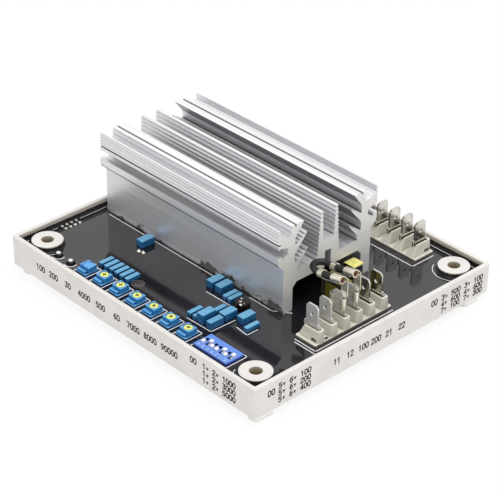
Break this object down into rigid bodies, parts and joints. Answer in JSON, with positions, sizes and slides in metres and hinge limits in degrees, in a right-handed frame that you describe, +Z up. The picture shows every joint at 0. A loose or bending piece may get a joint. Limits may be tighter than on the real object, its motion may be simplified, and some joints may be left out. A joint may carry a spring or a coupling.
{
  "type": "automatic voltage regulator",
  "caption": "Potted circuit board in a shallow moulded tray with corner bosses, a tall finned extruded heatsink, blade terminals, trimmers and a slide-switch block.",
  "frame": {"origin": "under the middle of the tray, on the surface that the feet stand on", "axes": "+X along the tray's long side towards the first terminal block, +Y across towards the second, +Z up"},
  "size_m": [0.15, 0.1348, 0.0537],
  "materials": {
    "tray": "satin",
    "board": "matt",
    "resin": "gloss",
    "heatsink": "satin extruded",
    "screw_steel": "plated",
    "device": "matt",
    "core": "matt",
    "coil": "taped",
    "tape": "gloss",
    "terminal_plastic": "satin",
    "blade": "tinned",
    "receptacle": "tinned",
    "wire": "satin",
    "strands": "bare",
    "switch_body": "satin",
    "slider": "satin",
    "trimmer_body": "satin",
    "rotor": "satin",
    "film_capacitor": "gloss",
    "electrolytic": "gloss",
    "led": "clear",
    "pin": "tinned",
    "disc": "gloss"
  },
  "bodies": {
    "base": {"choke_core": "core", "choke_tape": "tape", "circuit_board": "board", "device_screw_1": "screw_steel", "device_screw_2": "screw_steel", "dip_switch_body": "switch_body", "disc_capacitor": "disc", "electrolytic_capacitor": "electrolytic", "film_cap_single": "film_capacitor", "film_caps_middle": "film_capacitor", "film_caps_rear": "film_capacitor", "film_caps_right": "film_capacitor", "film_caps_row": "film_capacitor", "flag_receptacle_1": "receptacle", "flag_receptacle_2": "receptacle", "front_blade_1": "blade", "front_blade_2": "blade", "front_blade_3": "blade", "front_blade_4": "blade", "front_blade_5": "blade", "front_blade_6": "blade", "front_terminal_housing": "terminal_plastic", "heatsink": "heatsink", "heatsink_screws": "screw_steel", "indicator_led_1": "led", "indicator_led_2": "led", "jumper_wire": "wire", "potting_resin": "resin", "power_device_1": "device", "power_device_2": "device", "rear_blades": "blade", "rear_terminal_housing": "terminal_plastic", "service_pins": "pin", "transformer_coil": "coil", "transformer_core": "core", "transformer_tape": "tape", "tray": "tray", "trimmer_body_1": "trimmer_body", "trimmer_body_2": "trimmer_body", "trimmer_body_3": "trimmer_body", "trimmer_body_4": "trimmer_body", "trimmer_body_5": "trimmer_body", "trimmer_body_6": "trimmer_body", "trimmer_body_7": "trimmer_body", "wire_strands": "strands"},
    "dip_slider_1": {"dip_slider_1": "slider"},
    "dip_slider_2": {"dip_slider_2": "slider"},
    "dip_slider_3": {"dip_slider_3": "slider"},
    "dip_slider_4": {"dip_slider_4": "slider"},
    "dip_slider_5": {"dip_slider_5": "slider"},
    "dip_slider_6": {"dip_slider_6": "slider"},
    "dip_slider_7": {"dip_slider_7": "slider"},
    "trimmer_rotor_2": {"trimmer_rotor_2": "rotor"},
    "trimmer_rotor_3": {"trimmer_rotor_3": "rotor"},
    "trimmer_rotor_4": {"trimmer_rotor_4": "rotor"},
    "trimmer_rotor_5": {"trimmer_rotor_5": "rotor"},
    "trimmer_rotor_6": {"trimmer_rotor_6": "rotor"},
    "trimmer_rotor_7": {"trimmer_rotor_7": "rotor"}
  },
  "joints": [
    {"name": "slide_1", "type": "slide", "parent": "base", "child": "dip_slider_1", "axis": [0, 1, 0], "range_m": [0, 0.0021]},
    {"name": "slide_2", "type": "slide", "parent": "base", "child": "dip_slider_2", "axis": [0, 1, 0], "range_m": [-0.0021, 0]},
    {"name": "slide_3", "type": "slide", "parent": "base", "child": "dip_slider_3", "axis": [0, 1, 0], "range_m": [0, 0.0021]},
    {"name": "slide_4", "type": "slide", "parent": "base", "child": "dip_slider_4", "axis": [0, 1, 0], "range_m": [0, 0.0021]},
    {"name": "slide_5", "type": "slide", "parent": "base", "child": "dip_slider_5", "axis": [0, 1, 0], "range_m": [-0.0021, 0]},
    {"name": "slide_6", "type": "slide", "parent": "base", "child": "dip_slider_6", "axis": [0, 1, 0], "range_m": [0, 0.0021]},
    {"name": "slide_7", "type": "slide", "parent": "base", "child": "dip_slider_7", "axis": [0, 1, 0], "range_m": [-0.0021, 0]},
    {"name": "turn_2", "type": "hinge", "parent": "base", "child": "trimmer_rotor_2", "pos_m": [-0.0265, -0.05675, 0.0166], "axis": [0, 0, 1], "range_deg": [-130, 130]},
    {"name": "turn_3", "type": "hinge", "parent": "base", "child": "trimmer_rotor_3", "pos_m": [-0.0161, -0.05675, 0.0166], "axis": [0, 0, 1], "range_deg": [-130, 130]},
    {"name": "turn_4", "type": "hinge", "parent": "base", "child": "trimmer_rotor_4", "pos_m": [-0.0057, -0.05675, 0.0166], "axis": [0, 0, 1], "range_deg": [-130, 130]},
    {"name": "turn_5", "type": "hinge", "parent": "base", "child": "trimmer_rotor_5", "pos_m": [0.0047, -0.05675, 0.0166], "axis": [0, 0, 1], "range_deg": [-130, 130]},
    {"name": "turn_6", "type": "hinge", "parent": "base", "child": "trimmer_rotor_6", "pos_m": [0.0151, -0.05675, 0.0166], "axis": [0, 0, 1], "range_deg": [-130, 130]},
    {"name": "turn_7", "type": "hinge", "parent": "base", "child": "trimmer_rotor_7", "pos_m": [0.0255, -0.05675, 0.0166], "axis": [0, 0, 1], "range_deg": [-130, 130]}
  ]
}
